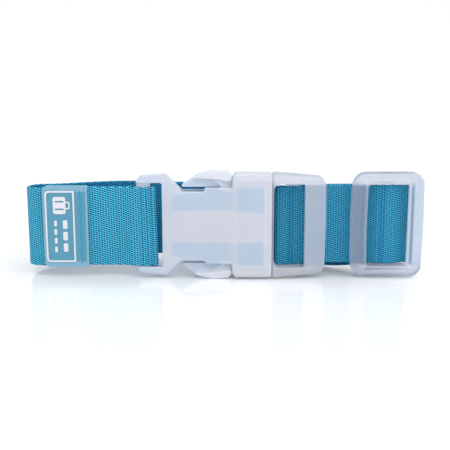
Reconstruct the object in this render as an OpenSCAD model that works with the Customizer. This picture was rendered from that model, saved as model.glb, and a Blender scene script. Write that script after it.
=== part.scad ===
/* [Webbing] */
// Width of the woven webbing
web_w = 50; // [46:1:50]
// Thickness of the woven webbing
web_t = 1.4; // [1.1:0.1:1.4]
// Depth of the closed loop, from the front run to the back run
loop_depth = 50; // [48:1:54]
// Height of the webbing's lower edge above the table along the front run
web_low = 8; // [7:0.5:9]

/* [Buckle socket] */
// Half of the sleeve's height
sleeve_half = 32.6; // [32.4:0.1:33]
// Half of the sleeve's thickness
sleeve_t = 7; // [7:0.1:7.4]
// Half of the gap between the two plates
cavity_t = 3.2; // [3.1:0.1:3.4]
// Half of the webbing slot's height
slot_half = 26.9; // [26.6:0.1:27.2]

/* [Buckle plug] */
// Half thickness of the latch arms, which slide between the plates
arm_t = 2.8; // [2.4:0.1:2.8]
// Half thickness of the finger pads
pad_t = 5; // [4.4:0.1:5]
// Half width of the guide blade
blade_half = 6.5; // [6:0.1:7]

/* [Adjuster] */
// Half of the adjuster's height
adjuster_half = 33; // [32:0.1:33.5]
// Front face of the adjuster's bands, measured from the front run's middle
adjuster_front = -3.5; // [-4:0.1:-3]

/* [Label] */
// Height of the label patch
label_h = 52.4; // [48:0.2:53]
// Thickness of the label patch
label_t = 1.2; // [1:0.1:1.3]
// Height of the raised figures on the label
relief_t = 0.45; // [0.3:0.05:0.6]

/* [Hidden] */
$fn = 48;

// The buckle's middle height, and the shift that centres the loop's depth on Y.
mid_z = 34;
depth_mid = (loop_depth + web_t / 2 - sleeve_t) / 2;

// Running gap between the webbing and a plastic face, and between two layers.
run_gap = 0.15;
layer_gap = 0.06;
layer_step = web_t + layer_gap;
arc_step = 12;

// Stations along X.
loop_left = -125 + web_t / 2;
run_start = -62;
bend_start = -100;
split_back = 60;
split_double = 72;
layer_shift_right = 66.5;
layer_shift_left = 58;

// Depths of the bars and of the layers that run over them.
socket_bar_front = -1.4;
socket_bar_back = 2.6;
plug_bar_front = 2.3;
plug_bar_back = 5.1;
adj_bar_front = 1.8;
adj_bar_back = 4.6;
plug_front_layer = plug_bar_front - run_gap - web_t / 2;
plug_rear_layer = plug_bar_back + run_gap + web_t / 2;
adj_rear_layer = adj_bar_back + run_gap + web_t / 2;
adj_return_layer = adj_bar_front - run_gap - web_t / 2;
adj_front_layer = adj_return_layer - layer_step;
adj_band_back = 1.65;
adj_entry_layer = adj_band_back + run_gap + web_t / 2;
tail_layer = layer_step;

// Colours.
webbing_blue = "#2a9cc4";
frosted = "#d5d9ea";
label_tint = "#6fb4cc";
print_white = "#f4f4f6";
thread_blue = "#1f86b4";

// ---- Outline helpers -------------------------------------------------------

function unit(p) = p / norm(p);
function flat(p) = [p.x, p.y];

// The points of a rounded corner at p, between its neighbours a and b.
function corner(a, p, b) =
    let (r = p.z)
    r <= 0 ? [flat(p)] :
    let (
        u = unit(flat(a) - flat(p)),
        w = unit(flat(b) - flat(p)),
        half = acos(u * w) / 2,
        c = flat(p) + unit(u + w) * r / sin(half),
        s = flat(p) + u * r / tan(half) - c,
        e = flat(p) + w * r / tan(half) - c,
        turn = atan2(s.x * e.y - s.y * e.x, s * e),
        n = max(2, ceil(abs(turn) / arc_step))
    )
    [for (k = [0:n]) let (q = turn * k / n)
        c + [s.x * cos(q) - s.y * sin(q), s.x * sin(q) + s.y * cos(q)]];

// A closed outline from corners given as [x, y, radius].
function rounded(pts) =
    let (n = len(pts))
    [for (i = [0:n - 1]) each corner(pts[(i + n - 1) % n], pts[i], pts[(i + 1) % n])];

// The same for an open line, which keeps its two ends.
function route(pts) =
    let (n = len(pts))
    distinct(concat(
        [flat(pts[0])],
        [for (i = [1:n - 2]) each corner(pts[i - 1], pts[i], pts[i + 1])],
        [flat(pts[n - 1])]
    ));

// Where one arc ends on the next one's start, the point is kept once.
function distinct(line) =
    [for (i = [0:len(line) - 1]) if (i == 0 || norm(line[i] - line[i - 1]) > 0.01) line[i]];

// A half outline and its mirror image below the middle line.
function both(half) =
    let (n = len(half))
    concat(half, [for (i = [n - 1:-1:0]) [half[i].x, -half[i].y, half[i].z]]);

// A point of a line moved sideways by d, with its corners kept sharp.
function side_point(line, i, d) =
    let (
        n = len(line),
        back = unit(line[max(i, 1)] - line[max(i, 1) - 1]),
        ahead = unit(line[min(i, n - 2) + 1] - line[min(i, n - 2)]),
        nb = [-back.y, back.x],
        na = [-ahead.y, ahead.x],
        m = unit(nb + na)
    )
    line[i] + m * d / (m * nb);

function side_line(line, d) = [for (i = [0:len(line) - 1]) side_point(line, i, d)];

// How far along a line each of its points lies, from 0 to 1.
function lengths(line, i = 0, so_far = 0) =
    i >= len(line) ? [] :
    let (here = so_far + (i == 0 ? 0 : norm(line[i] - line[i - 1])))
    concat([here], lengths(line, i + 1, here));
function shares(line) =
    let (l = lengths(line))
    [for (v = l) v / l[len(l) - 1]];
function ease(q) = q * q * (3 - 2 * q);

// ---- Placing helpers -------------------------------------------------------

module place() translate([0, -depth_mid, mid_z]) children();

// A flat outline in X and Z, made solid from depth v0 to depth v1.
module slab(v0, v1) translate([0, v1, 0]) rotate([90, 0, 0])
    linear_extrude(v1 - v0) children();

// An outline in X and depth, made solid over the height from -half to half.
module column(half) translate([0, 0, -half]) linear_extrude(2 * half) children();

// A bar with round edges, standing between two rails.
module bar(x0, x1, v0, v1, half) {
    r = (v1 - v0) / 2;
    mid = (v0 + v1) / 2;
    column(half) {
        translate([x0 + r, v0]) square([x1 - x0 - 2 * r, v1 - v0]);
        translate([x0 + r, mid]) circle(r);
        translate([x1 - r, mid]) circle(r);
    }
}

module box(x0, x1, v0, v1, z0, z1) translate([x0, v0, z0])
    cube([x1 - x0, v1 - v0, z1 - z0]);

// A level strip of webbing along a line in X and depth.
module level_strip(line, low = web_low) {
    edge = side_line(line, web_t / 2);
    other = side_line(line, -web_t / 2);
    n = len(line);
    translate([0, -depth_mid, low]) linear_extrude(web_w)
        polygon(concat(edge, [for (i = [n - 1:-1:0]) other[i]]));
}

// A strip whose lower edge comes down, or climbs, from low0 to low1.
module drooping_strip(line, low0, low1) {
    edge = side_line(line, web_t / 2);
    other = side_line(line, -web_t / 2);
    q = shares(line);
    n = len(line);
    low = [for (i = [0:n - 1]) low0 + (low1 - low0) * ease(q[i])];
    rings = [for (i = [0:n - 1]) each [
        [edge[i].x, edge[i].y, low[i]],
        [other[i].x, other[i].y, low[i]],
        [other[i].x, other[i].y, low[i] + web_w],
        [edge[i].x, edge[i].y, low[i] + web_w]
    ]];
    walls = [for (i = [0:n - 2], k = [0:3]) let (a = 4 * i + k, b = 4 * i + (k + 1) % 4)
        [a, b, b + 4, a + 4]];
    last = 4 * (n - 1);
    ends = [[3, 2, 1, 0], [last, last + 1, last + 2, last + 3]];
    translate([0, -depth_mid, 0]) polyhedron(rings, concat(ends, walls));
}

// ---- The buckle's socket ---------------------------------------------------

socket_left = -54.5;
socket_mouth = 30.2;
socket_bar_right = -45.5;
socket_slot_right = -38.4;
window_left = -26.5;
plate_edge = 21.9;
plate_step_x = -12;
plate_step_edge = 24.4;
latch_face = 5.5;
sleeve_wall = 1.7;
sleeve_inside = 29.8;
rib_in = 7.6;
rib_out = 9.4;

module socket_outline() polygon(rounded(both([
    [socket_left, 30.8, 4.5],
    [-36, 32.2, 3],
    [window_left + 0.6, plate_edge, 0.8],
    [plate_step_x, plate_edge, 0.4],
    [plate_step_x + 0.6, plate_step_edge, 0.4],
    [latch_face - 0.1, plate_step_edge, 0.3],
    [latch_face, sleeve_half - 2.6, 0.4],
    [latch_face + 1.3, sleeve_half, 0.6],
    [socket_mouth - 0.9, sleeve_half, 0.6],
    [socket_mouth, sleeve_half - 0.9, 0.6]
])));

// The socket is thin at its bar and swells to the sleeve.
module socket_profile() polygon(rounded(both([
    [socket_left - 0.1, 3, 1],
    [-36, 3.6, 8],
    [-22, 5.2, 8],
    [2, 5.4, 4],
    [8, sleeve_t, 4],
    [socket_mouth, sleeve_t, 0.8]
])));

module socket_cavity() {
    // the side rooms that the squeezed arms move into
    room_top = 20.6;
    for (z0 = [rib_out, -room_top])
        box(-33, latch_face + 2, -cavity_t, cavity_t, z0, z0 + room_top - rib_out);
    // their open sides
    for (z0 = [room_top - 0.5, -sleeve_inside])
        box(window_left, latch_face + 2, -cavity_t, cavity_t, z0, z0 + sleeve_inside - room_top + 0.5);
    // the middle channel for the guide blade
    box(-26, latch_face + 2, -cavity_t, cavity_t, -rib_in, rib_in);
    // the sleeve's inside, open at the mouth, with the two ribs left standing
    difference() {
        box(latch_face + 2, socket_mouth + 1, -sleeve_t + sleeve_wall, sleeve_t - sleeve_wall,
            -sleeve_inside, sleeve_inside);
        for (z0 = [rib_in, -rib_out])
            for (v0 = [-sleeve_t, cavity_t])
                box(latch_face + 1, 19.3, v0, v0 + sleeve_t - cavity_t, z0, z0 + rib_out - rib_in);
    }
    // the way past the latch face for the arms' beams and pads
    for (z0 = [plate_step_edge, -sleeve_inside])
        box(latch_face - 2, latch_face + 3, -pad_t - 0.3, pad_t + 0.3,
            z0, z0 + sleeve_inside - plate_step_edge);
}

module socket() color(frosted, 0.75) place() {
    difference() {
        intersection() {
            slab(-sleeve_t - 1, sleeve_t + 1) socket_outline();
            column(sleeve_half + 1) socket_profile();
        }
        box(socket_left - 1, socket_slot_right, -10, 10, -slot_half, slot_half);
        socket_cavity();
    }
    bar(socket_left, socket_bar_right, socket_bar_front, socket_bar_back, slot_half);
}

// ---- The buckle's plug -----------------------------------------------------

plug_left = 30.5;
plug_right = 64;
plug_slot_left = 31.2;
plug_slot_right = 50.6;
plug_slot_half = 26.5;
plug_bar_left = 38.8;
plug_bar_right = 49;
plug_band_back = plug_front_layer - web_t / 2 - run_gap;
blade_tip = -22;
block_left = 26;

module plug_outline() polygon(rounded(both([
    [plug_left, 32, 0.5],
    [plug_left + 1, sleeve_half + 0.2, 0.5],
    [plug_right - 0.6, 30.4, 5.5],
    [plug_right, 0.01, 0]
])));

module plug_profile() polygon(rounded(both([
    [plug_left, 6.7, 0.8],
    [44, 6.2, 10],
    [plug_right, 4, 2]
])));

module plug_slot() polygon(rounded(both([
    [plug_slot_left, plug_slot_half, 3.5],
    [plug_slot_right, plug_slot_half, 0.8]
])));

module guide_blade() polygon(rounded(both([
    [blade_tip, blade_half - 2, 1.5],
    [blade_tip + 4, blade_half, 2],
    [block_left + 1, blade_half, 0]
])));

module plug_base() color(frosted, 0.75) place() {
    difference() {
        intersection() {
            slab(-9, 9) plug_outline();
            column(sleeve_half + 2) plug_profile();
        }
        slab(-10, 10) plug_slot();
        // behind the band, for the doubled webbing
        box(plug_slot_right - 2, plug_right + 1, plug_band_back, 10, -plug_slot_half, plug_slot_half);
    }
    bar(plug_bar_left, plug_bar_right, plug_bar_front, plug_bar_back, plug_slot_half + 0.5);
    box(block_left, plug_slot_left, -pad_t, pad_t, -24.9, 24.9);
    slab(-arm_t, arm_t) guide_blade();
}

// One latch arm, drawn as the upper one.  Its beam bends at the block.
arm_root = 27;
head_peak = 34.235;
module arm_beam() polygon(rounded([
    [arm_root + 3.2, 29.5, 0.4],
    [arm_root + 3.2, 25.2, 0.4],
    [arm_root - 14, 25.6, 6],
    [4, 24, 3],
    [4, 29.5, 0.4]
]));

module arm_head() polygon(rounded([
    [-25.8, 24.3, 0.6],
    [-25.9, 25.7, 0.8],
    [-16.5, 31.8, 10],
    [-7, head_peak, 14],
    [3.2, 33.2, 1.2],
    [5.2, 31, 0.8],
    [4.6, 24.6, 2],
    [-6, 24.3, 2]
]));

// The thick rim of the head, with the round knuckle that dips into the body.
module arm_rim() polygon(rounded([
    [-19.5, 29.9, 0.3],
    [-16.5, 31.8, 10],
    [-7, head_peak, 14],
    [3.2, 33.2, 1.2],
    [5.2, 31, 0.8],
    [5.2, 23, 2],
    [-0.5, 22.4, 4],
    [-5.5, 29, 4],
    [-10, 29.4, 4]
]));

module arm_pad() polygon(rounded([
    [-19, 30.2, 0.3],
    [-16.5, 31.8, 10],
    [-7, head_peak, 14],
    [3.2, 33.2, 1.2],
    [5.0, 31, 0.8],
    [4.9, 28, 1],
    [-4, 29.6, 6],
    [-12, 30, 6]
]));

module arm() {
    slab(-arm_t, arm_t) arm_beam();
    slab(-1.6, 1.6) arm_head();
    slab(-arm_t, arm_t) arm_rim();
    slab(-pad_t, pad_t) arm_pad();
}

module upper_arm() color(frosted, 0.75) place() arm();
module lower_arm() color(frosted, 0.75) place() mirror([0, 0, 1]) arm();

// ---- The adjuster ----------------------------------------------------------

adj_left = 79.2;
adj_right = 125;
adj_open_left = 90.2;
adj_open_right = 115.3;
adj_open_half = 25.9;
adj_bar_left = 97.5;
adj_bar_right = 105;
adj_back = 5;

module adjuster_outline() polygon(rounded(both([
    [adj_left + 1, adjuster_half, 8.5],
    [adj_right - 0.8, adjuster_half, 7],
    [adj_right, 0.01, 0]
])));

module adjuster_profile() polygon(rounded([
    [adj_left, adjuster_front + 0.4, 1.6],
    [adj_open_left - 3, adjuster_front, 6],
    [adj_open_right + 3, adjuster_front, 6],
    [adj_right, adjuster_front + 0.4, 1.6],
    [adj_right, adj_band_back, 1.2],
    [adj_open_right + 2, adj_back, 1.2],
    [adj_open_left - 2, adj_back, 1.2],
    [adj_left, adj_band_back, 1.2]
]));

module adjuster() color(frosted, 0.75) place() {
    difference() {
        intersection() {
            slab(-6, 7) adjuster_outline();
            column(adjuster_half + 1) adjuster_profile();
        }
        slab(-6, 7) polygon(rounded(both([
            [adj_open_left, adj_open_half, 1.2],
            [adj_open_right, adj_open_half, 1.2]
        ])));
        for (x0 = [adj_left - 1, adj_open_right - 1])
            box(x0, x0 + 12.5, adj_band_back, 7, -adj_open_half, adj_open_half);
    }
    bar(adj_bar_left, adj_bar_right, adj_bar_front, adj_bar_back, adj_open_half + 0.5);
}

// ---- The webbing, section by section ---------------------------------------

// The loose round of the webbing past the end of a bar.
socket_fold_r = (socket_bar_back - socket_bar_front + web_t) / 2 + run_gap + 0.05;
socket_bar_mid = (socket_bar_front + socket_bar_back) / 2;
socket_fold_x = -43.1;

module webbing_socket_fold() color(webbing_blue) level_strip(route([
    [-97, tail_layer, 0],
    [run_start, tail_layer, 6],
    [-56.8, socket_bar_mid + socket_fold_r, 6],
    [socket_fold_x, socket_bar_mid + socket_fold_r, socket_fold_r],
    [socket_fold_x, socket_bar_mid - socket_fold_r, socket_fold_r],
    [-56.8, socket_bar_mid - socket_fold_r, 6],
    [run_start, 0, 6],
    [run_start - 4, 0, 0]
]));

module webbing_front_run() color(webbing_blue) level_strip([
    [run_start - 4, 0],
    [bend_start, 0]
]);

// The point at x on the line from a to b, so that two sections meet square to it.
function on_line(a, b, x) = [x, a.y + (b.y - a.y) * (x - a.x) / (b.x - a.x)];

// Heights of the lower edge where the sections meet.
low_bend_end = 3.4;
low_table = 0.6;
back_corner = [-70, loop_depth, 60];
bend_corner = [loop_left, 31, 13];
bend_share = 0.35;
bend_end = flat(bend_corner) + (flat(back_corner) - flat(bend_corner)) * bend_share;

module webbing_left_bend() color(webbing_blue) drooping_strip(route([
    [bend_start, 0, 0],
    [loop_left, 0, 13],
    bend_corner,
    [bend_end.x, bend_end.y, 0]
]), web_low, low_bend_end);

back_slope = [32, 38.5];
turn_corner = [78, 20.4];
back_split = on_line(back_slope, turn_corner, split_back);
module webbing_back_run() color(webbing_blue) drooping_strip(route([
    [bend_end.x, bend_end.y, 0],
    back_corner,
    [-25, loop_depth, 80],
    [back_slope.x, back_slope.y, 120],
    [back_split.x, back_split.y, 0]
]), low_bend_end, low_table);

turn_right = 118.2;
pass_start = adj_bar_right + 1.3;
rise_corner = [112.6, 3];
turn_end = on_line(rise_corner, [pass_start, adj_front_layer], pass_start + 1);
module webbing_turn() color(webbing_blue) drooping_strip(route([
    [back_split.x, back_split.y, 0],
    [turn_corner.x, turn_corner.y, 60],
    [turn_right, 12.4, 3.6],
    [turn_right, 4.9, 3.2],
    [rise_corner.x, rise_corner.y, 6],
    [turn_end.x, turn_end.y, 0]
]), low_table, web_low + 1);

module webbing_adjuster_pass() color(webbing_blue) level_strip(route([
    [turn_end.x, turn_end.y, 0],
    [pass_start, adj_front_layer, 3],
    [96.5, adj_front_layer, 3],
    [91, adj_entry_layer, 4],
    [split_double, adj_entry_layer, 0]
]), web_low + 1);

plug_loop_r = (plug_rear_layer - plug_front_layer) / 2;
plug_loop_x = 32.85;
module webbing_plug_loop() color(webbing_blue) level_strip(route([
    [split_double, adj_entry_layer, 0],
    [layer_shift_right, adj_entry_layer, 8],
    [layer_shift_left, plug_front_layer, 8],
    [plug_loop_x, plug_front_layer, plug_loop_r],
    [plug_loop_x, plug_rear_layer, plug_loop_r],
    [layer_shift_left, plug_rear_layer, 8],
    [layer_shift_right, adj_rear_layer, 8],
    [split_double, adj_rear_layer, 0]
]), web_low + 1);

end_loop_r = (adj_rear_layer - adj_return_layer) / 2;
end_loop_x = adj_bar_right + run_gap + web_t / 2;
sewn_layer = adj_rear_layer - layer_step;
module webbing_end_loop() color(webbing_blue) level_strip(route([
    [split_double, adj_rear_layer, 0],
    [end_loop_x, adj_rear_layer, end_loop_r],
    [end_loop_x, adj_return_layer, end_loop_r],
    [98.5, adj_return_layer, 3],
    [92.9, sewn_layer, 4],
    [81, sewn_layer, 0]
]), web_low + 1);

// ---- The label -------------------------------------------------------------

label_left = -112.9;
label_right = -84.7;
label_fold = -91;
label_back = -web_t / 2 - 0.05;
label_front = label_back - label_t;
web_mid = web_low + web_w / 2 - mid_z;

module on_label() place() translate([0, 0, web_mid]) children();

module label_hem() color(label_tint) on_label() {
    box(label_fold, label_right, label_front, label_back, -label_h / 2, label_h / 2);
    box(label_right - 1.7, label_right, label_front - 0.5, label_front, -label_h / 2, label_h / 2);
}

module label_flap() color(label_tint) on_label() slab(label_front, label_back)
    polygon(rounded([
        [label_left, -label_h / 2, 4],
        [label_fold - 0.3, -label_h / 2, 0],
        [label_fold - 0.3, label_h / 2, 0],
        [label_left, label_h / 2, 4]
    ]));

module raised() color(print_white) on_label()
    slab(label_front - relief_t, label_front) children();

frame_line = 1.1;
frame_box = [-111.3, -92.9, 22.8];
module frame_shape(inset, r) polygon(rounded([
    [frame_box[0] + inset, -frame_box[2] + inset, r],
    [frame_box[1] - inset, -frame_box[2] + inset, 0.4],
    [frame_box[1] - inset, frame_box[2] - inset, 0.4],
    [frame_box[0] + inset, frame_box[2] - inset, r]
]));

module label_border() raised() difference() {
    frame_shape(0, 2.6);
    frame_shape(frame_line, 1.7);
}

module plate(w, h, r) polygon(rounded([
    [-w / 2, -h / 2, r], [w / 2, -h / 2, r], [w / 2, h / 2, r], [-w / 2, h / 2, r]
]));

// A plain suitcase, lying on its side: a ribbed shell with a handle.
module label_emblem() raised() translate([-102.3, 13.6]) {
    difference() {
        plate(8, 11, 1.4);
        for (z = [-2.4, 2.4]) translate([0, z]) plate(5.6, 0.9, 0.4);
    }
    translate([5, 0]) difference() {
        plate(3, 5, 1);
        translate([-0.7, 0]) plate(2.6, 3, 0.5);
    }
}

// Two columns of plain bars.
module label_bars() raised() {
    for (z = [1.4, -6, -13.4]) translate([-99, z]) plate(3, 5.6, 0.9);
    for (z = [2.2, -3.4, -9, -14.6]) translate([-105, z]) plate(1.8, 3.8, 0.7);
}

// ---- Stitching -------------------------------------------------------------

stitch_x = -89.3;
stitch_pitch = 3.6;
stitch_len = 3;
thread_t = 0.4;

module stitch_row(x, v0, half) for (z = [-half:stitch_pitch:half - stitch_len])
    translate([x, v0, z]) slab(0, thread_t) plate_at(0.7, stitch_len);
module plate_at(w, h) translate([0, h / 2]) plate(w, h, 0.3);

module label_stitches() color(thread_blue) on_label() {
    stitch_row(stitch_x, label_front - thread_t, 25);
    stitch_row(stitch_x, tail_layer + web_t / 2, 24);
}

module end_stitches() color(thread_blue) place() translate([0, 0, web_mid + 1])
    for (x = [83.5, 87.5]) stitch_row(x, adj_rear_layer + web_t / 2, 23);

// ---- The assembly ----------------------------------------------------------

socket();
plug_base();
upper_arm();
lower_arm();
adjuster();
webbing_socket_fold();
webbing_front_run();
webbing_left_bend();
webbing_back_run();
webbing_turn();
webbing_adjuster_pass();
webbing_plug_loop();
webbing_end_loop();
label_hem();
label_flap();
label_border();
label_emblem();
label_bars();
label_stitches();
end_stitches();
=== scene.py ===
# %% [markdown]
# # A luggage strap with a side-release buckle
# A woven blue strap goes round a suitcase. Its two ends meet in a frosted plastic buckle, a
# slide adjuster sets its length, and a soft label is sewn to it. This lesson dresses the packed
# CAD model: every piece is built in the same place as its CAD part, in metres, so that it can
# move on the same bodies.

import math

import bmesh
import bpy
import numpy as np
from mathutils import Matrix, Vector
from mathutils.bvhtree import BVHTree


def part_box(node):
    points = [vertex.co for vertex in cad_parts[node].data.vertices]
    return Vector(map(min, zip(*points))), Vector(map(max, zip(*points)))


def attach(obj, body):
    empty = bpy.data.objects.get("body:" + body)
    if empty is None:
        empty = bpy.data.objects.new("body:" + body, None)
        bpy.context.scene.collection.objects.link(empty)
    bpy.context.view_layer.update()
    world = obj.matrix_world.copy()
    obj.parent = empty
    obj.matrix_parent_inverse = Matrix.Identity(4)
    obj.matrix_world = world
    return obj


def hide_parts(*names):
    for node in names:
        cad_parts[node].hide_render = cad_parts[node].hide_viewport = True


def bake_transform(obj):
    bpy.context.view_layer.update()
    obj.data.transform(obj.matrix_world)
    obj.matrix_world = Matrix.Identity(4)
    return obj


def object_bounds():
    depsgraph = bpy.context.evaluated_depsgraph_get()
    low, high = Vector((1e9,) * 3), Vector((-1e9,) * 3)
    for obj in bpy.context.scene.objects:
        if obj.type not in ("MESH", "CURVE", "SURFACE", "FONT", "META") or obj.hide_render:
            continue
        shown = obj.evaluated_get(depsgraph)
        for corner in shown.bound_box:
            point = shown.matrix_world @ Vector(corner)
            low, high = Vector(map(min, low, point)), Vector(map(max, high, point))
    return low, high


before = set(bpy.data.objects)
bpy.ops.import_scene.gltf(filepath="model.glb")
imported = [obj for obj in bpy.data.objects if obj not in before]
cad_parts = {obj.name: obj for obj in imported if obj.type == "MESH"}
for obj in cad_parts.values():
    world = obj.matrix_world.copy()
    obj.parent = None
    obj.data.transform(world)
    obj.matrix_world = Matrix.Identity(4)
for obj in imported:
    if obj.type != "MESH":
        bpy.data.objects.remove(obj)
cad_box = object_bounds()
MM = 0.001
print("CAD box in mm:", [round((b - a) / MM, 2) for a, b in zip(*cad_box)])

# %% Read the strap's own places from the frame
front_low, front_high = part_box("webbing_front_run")
web_width = front_high.z - front_low.z
web_thick = front_high.y - front_low.y
front_y = (front_low.y + front_high.y) / 2
mid_height = (cad_box[0].z + cad_box[1].z) / 2
print("webbing", round(web_width / MM, 2), "x", round(web_thick / MM, 2), "mm")

# %% [markdown]
# ## Camera
# The strap stands on its edge and is seen from the front, from a little above. A long lens
# keeps the buckle's sides nearly parallel. The camera comes first, so that each piece can be
# judged in its final view as it is made.

# %% Place the camera
ELEVATION = math.radians(13.0)
DISTANCE = 0.568
LENS = 72.4
AIM_ACROSS = 0.0009
AIM_HEIGHT = 0.0337


def put_in_scene(name, data):
    obj = bpy.data.objects.new(name, data)
    bpy.context.scene.collection.objects.link(obj)
    return obj


def place_camera():
    data = bpy.data.cameras.new("strap_camera")
    data.lens = LENS
    data.sensor_width = 36
    data.clip_start = 0.01
    data.clip_end = 20
    cam = put_in_scene("strap_camera", data)
    back = Vector((0, -math.cos(ELEVATION), math.sin(ELEVATION)))
    target = Vector((AIM_ACROSS, front_y, AIM_HEIGHT))
    cam.location = target + back * DISTANCE
    cam.rotation_mode = "QUATERNION"
    cam.rotation_quaternion = (-back).to_track_quat("-Z", "Y")
    bpy.context.scene.camera = cam
    bpy.context.scene.view_settings.view_transform = "Standard"
    return cam


camera = place_camera()
print("camera at", [round(c, 4) for c in camera.location])

# %% [markdown]
# ## Shader helpers
# Each finish is a small tree of nodes. These helpers add a node, set its constants and join it
# to the nodes before it, so that a material reads from top to bottom like a recipe.


# %% Node helpers
def feed(tree, node, inputs):
    """Link each given socket to the node's input, or set the input's own value."""
    for key, value in inputs.items():
        if isinstance(value, bpy.types.NodeSocket):
            tree.links.new(value, node.inputs[key])
        else:
            node.inputs[key].default_value = value


def add_node(tree, kind, inputs=None, **settings):
    node = tree.nodes.new(kind)
    for key, value in settings.items():
        setattr(node, key, value)
    feed(tree, node, inputs or {})
    return node


def math_node(tree, operation, *values):
    inputs = dict(enumerate(values))
    return add_node(tree, "ShaderNodeMath", inputs, operation=operation).outputs[0]


def new_group(name, wanted, given):
    tree = bpy.data.node_groups.new(name, "ShaderNodeTree")
    for label, kind, default in wanted:
        socket = tree.interface.new_socket(label, in_out="INPUT", socket_type=kind)
        if default is not None:
            socket.default_value = default
    for label, kind in given:
        tree.interface.new_socket(label, in_out="OUTPUT", socket_type=kind)
    start = tree.nodes.new("NodeGroupInput")
    end = tree.nodes.new("NodeGroupOutput")
    return tree, start, end


def use_group(tree, group, inputs):
    node = tree.nodes.new("ShaderNodeGroup")
    node.node_tree = group
    feed(tree, node, inputs)
    return node


def new_material(name):
    mat = bpy.data.materials.new(name)
    mat.use_nodes = True
    mat.node_tree.nodes.clear()
    out = mat.node_tree.nodes.new("ShaderNodeOutputMaterial")
    shader = mat.node_tree.nodes.new("ShaderNodeBsdfPrincipled")
    mat.node_tree.links.new(shader.outputs[0], out.inputs["Surface"])
    return mat, mat.node_tree, shader


def srgb(red, green, blue):
    def linear(c):
        c /= 255
        return c / 12.92 if c <= 0.04045 else ((c + 0.055) / 1.055) ** 2.4

    return (linear(red), linear(green), linear(blue), 1.0)


# The Mix node's sockets for colour: its factor, its two colours and its result.
MIX_FACTOR, MIX_LOW, MIX_HIGH, MIX_RESULT = 0, 6, 7, 2


def mix_colour(tree, amount, low, high):
    inputs = {MIX_FACTOR: amount, MIX_LOW: low, MIX_HIGH: high}
    return add_node(tree, "ShaderNodeMix", inputs, data_type="RGBA").outputs[MIX_RESULT]


def skin_bump(tree, shader, height, strength, distance):
    """Tilts the light as this height would, in metres, and leaves the mesh as it is."""
    inputs = {"Height": height, "Strength": strength, "Distance": distance}
    bump = add_node(tree, "ShaderNodeBump", inputs)
    tree.links.new(bump.outputs[0], shader.inputs["Normal"])


def skin_roughness(tree, shader, amount, least, most):
    inputs = {"Value": amount, "To Min": least, "To Max": most}
    rough = add_node(tree, "ShaderNodeMapRange", inputs)
    tree.links.new(rough.outputs[0], shader.inputs["Roughness"])


print("helpers ready")

# %% [markdown]
# ## The weave
# The strap is a flat woven polyester webbing. Its warp threads run along the strap and pass over
# and under the weft in steps, so the face shows small slanted knuckles in upright columns. Two
# slanted sets of waves dip where they cross, which gives small pits between the threads.
# The same formula is used twice: once to push the mesh in and out, and once in the shader for
# the colour, with painted shade in the pits and painted highlights on the knuckles, and for the
# bump.

# %% The weave as a formula
# Waves per millimetre, along the strap and across it.
WAVE_LEFT = (-0.191, 0.7155)
WAVE_RIGHT = (0.4325, 0.709)
WEIGHT_RIGHT, WEIGHT_COLUMN = 0.9, 0.45
WEAVE_TOP, WEAVE_SPAN = 2.35, 3.75


def weave_height(along, across):
    """0 in the gaps between the threads and 1 on a knuckle; both places in mm."""
    left = 2 * math.pi * (along * WAVE_LEFT[0] + across * WAVE_LEFT[1])
    right = 2 * math.pi * (along * WAVE_RIGHT[0] + across * WAVE_RIGHT[1])
    wave = math.cos(left) + WEIGHT_RIGHT * math.cos(right)
    wave += WEIGHT_COLUMN * math.cos(left - right)
    return (WEAVE_TOP - wave) / WEAVE_SPAN


print("a knuckle is", round(1 / WAVE_LEFT[1], 2), "mm across the strap")


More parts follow.
